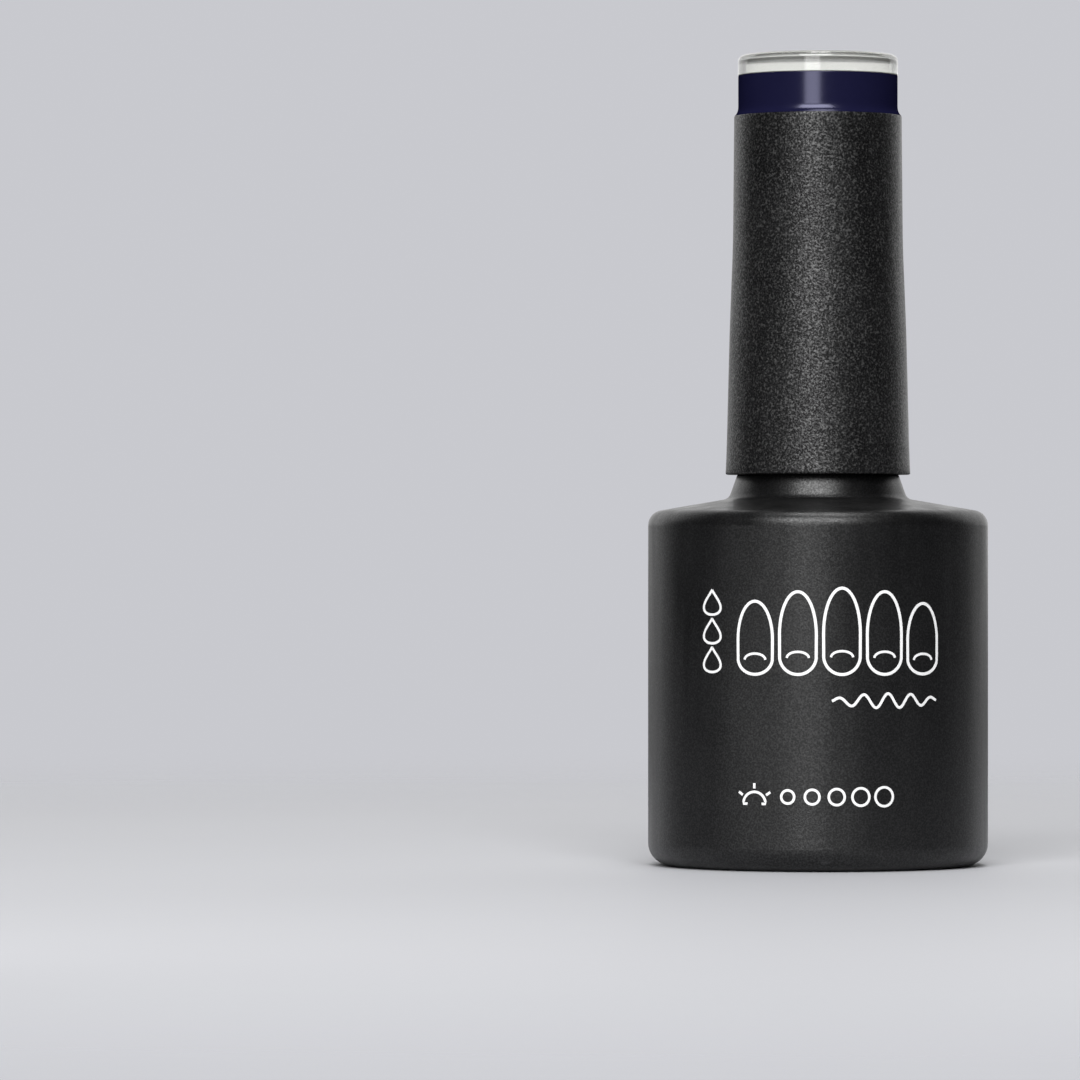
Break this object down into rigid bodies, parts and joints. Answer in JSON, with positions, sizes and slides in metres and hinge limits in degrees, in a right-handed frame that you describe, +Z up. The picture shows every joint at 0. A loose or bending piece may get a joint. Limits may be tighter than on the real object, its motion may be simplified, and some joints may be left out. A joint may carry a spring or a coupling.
{
  "type": "nail polish bottle",
  "caption": "Round matt bottle with a sloping shoulder and a tall tapered screw cap that carries a brush, with a colour band and a clear window on top.",
  "frame": {"origin": "centre of the bearing ring, on the surface that the bottle stands on", "axes": "+Z up along the axis of the bottle and cap; the printed front faces -Y"},
  "size_m": [0.029, 0.029, 0.069],
  "materials": {
    "coated_glass": "satin black coating over thick glass",
    "wiper_plastic": "soft natural polyethylene",
    "polish": "wet navy gel",
    "washer_foam": "fine closed foam",
    "inner_plastic": "moulded black",
    "soft_touch_sleeve": "fine-grained matt black",
    "shade_plastic": "glossy navy",
    "clear_window": "clear polished acrylic",
    "stem_plastic": "smooth black",
    "bristle": "fine nylon filaments",
    "anchor_metal": "cut strip",
    "print_ink": "thin white screen ink on the coated glass"
  },
  "bodies": {
    "bottle": {"glass_bottle": "coated_glass", "neck_wiper": "wiper_plastic", "gel_polish": "polish"},
    "washer": {"sealing_washer": "washer_foam"},
    "cap": {"inner_cap": "inner_plastic", "cap_sleeve": "soft_touch_sleeve", "shade_plug": "shade_plastic", "top_window": "clear_window", "brush_stem": "stem_plastic", "bristle_tuft": "bristle", "bristle_anchor": "anchor_metal"}
  },
  "joints": [
    {"name": "cap_lift", "type": "slide", "parent": "bottle", "child": "washer", "axis": [0, 0, 1], "range_m": [0, 0.04233]},
    {"name": "cap_unscrew", "type": "hinge", "parent": "washer", "child": "cap", "pos_m": [0, 0, 0.04], "axis": [0, 0, 1], "range_deg": [0, 7200]}
  ],
  "couplings": [
    {"joint": "cap_unscrew", "follows": "cap_lift", "rad_per_m": 2968.4}
  ]
}
